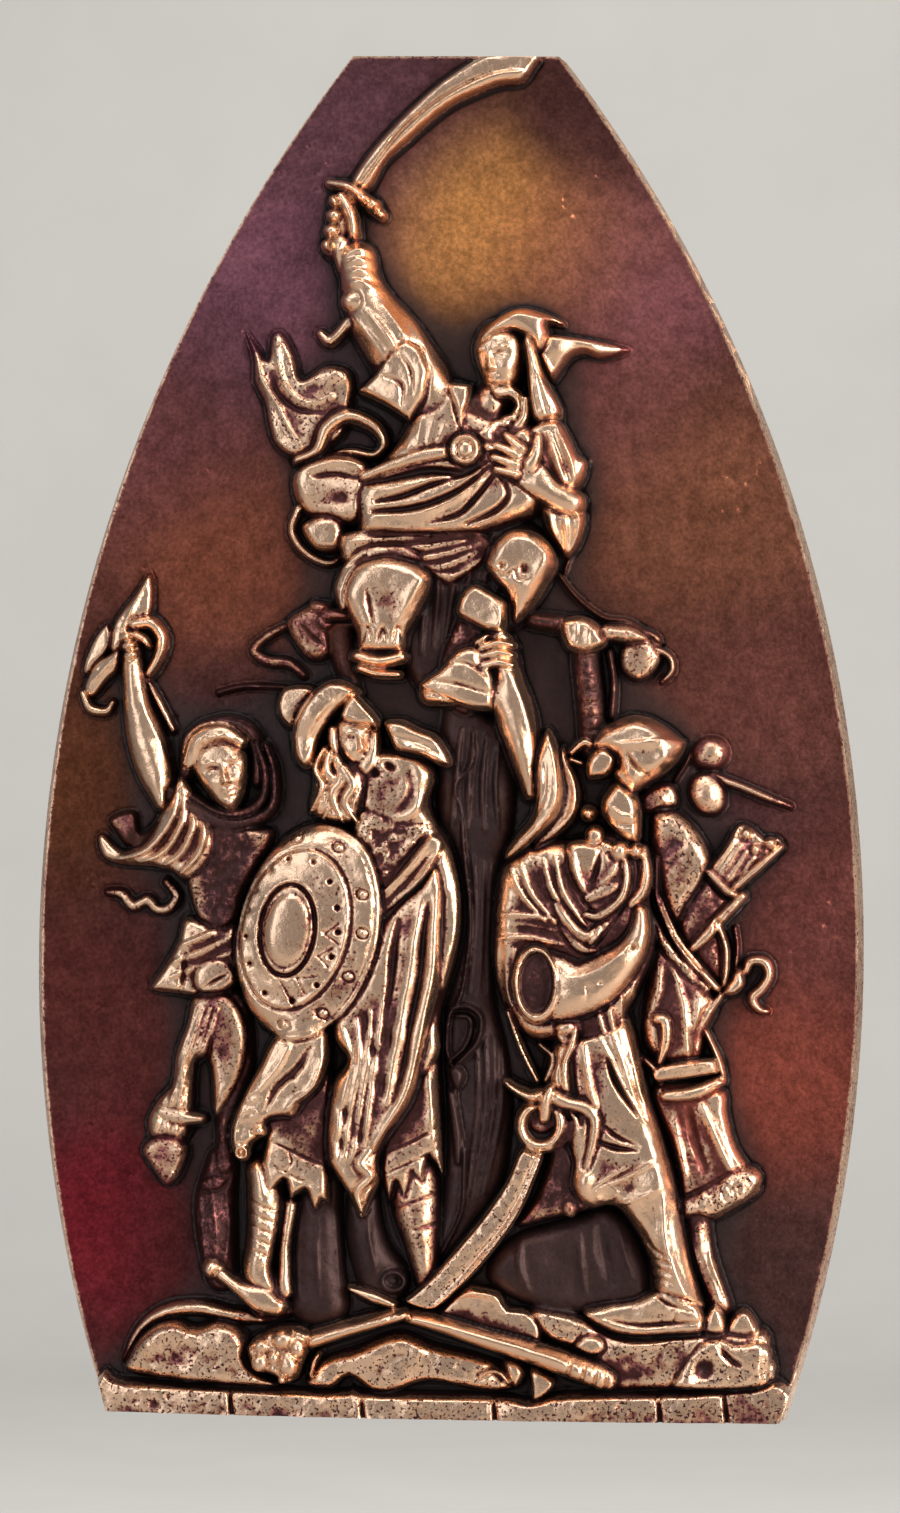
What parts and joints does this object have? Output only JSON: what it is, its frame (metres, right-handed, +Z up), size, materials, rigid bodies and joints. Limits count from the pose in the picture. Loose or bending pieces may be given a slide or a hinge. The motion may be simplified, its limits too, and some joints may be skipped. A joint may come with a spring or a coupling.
{
  "type": "relief plaque",
  "caption": "Boat-shaped cast metal wall plaque with a flat back and a group of warriors in high relief over a rocky ledge.",
  "frame": {"origin": "middle of the flat back face, where the plaque lies against the wall, half way up its height", "axes": "+Z up the plaque from the masonry course to the cut-off top, +Y out of the back towards the wall, the relief faces -Y"},
  "size_m": [0.1838, 0.0232, 0.3],
  "materials": {
    "rubbed_copper": "heat-coloured dark red and amber ground with the raised work rubbed back to bright copper"
  },
  "bodies": {
    "root": {"plaque": "rubbed_copper"}
  },
  "joints": []
}
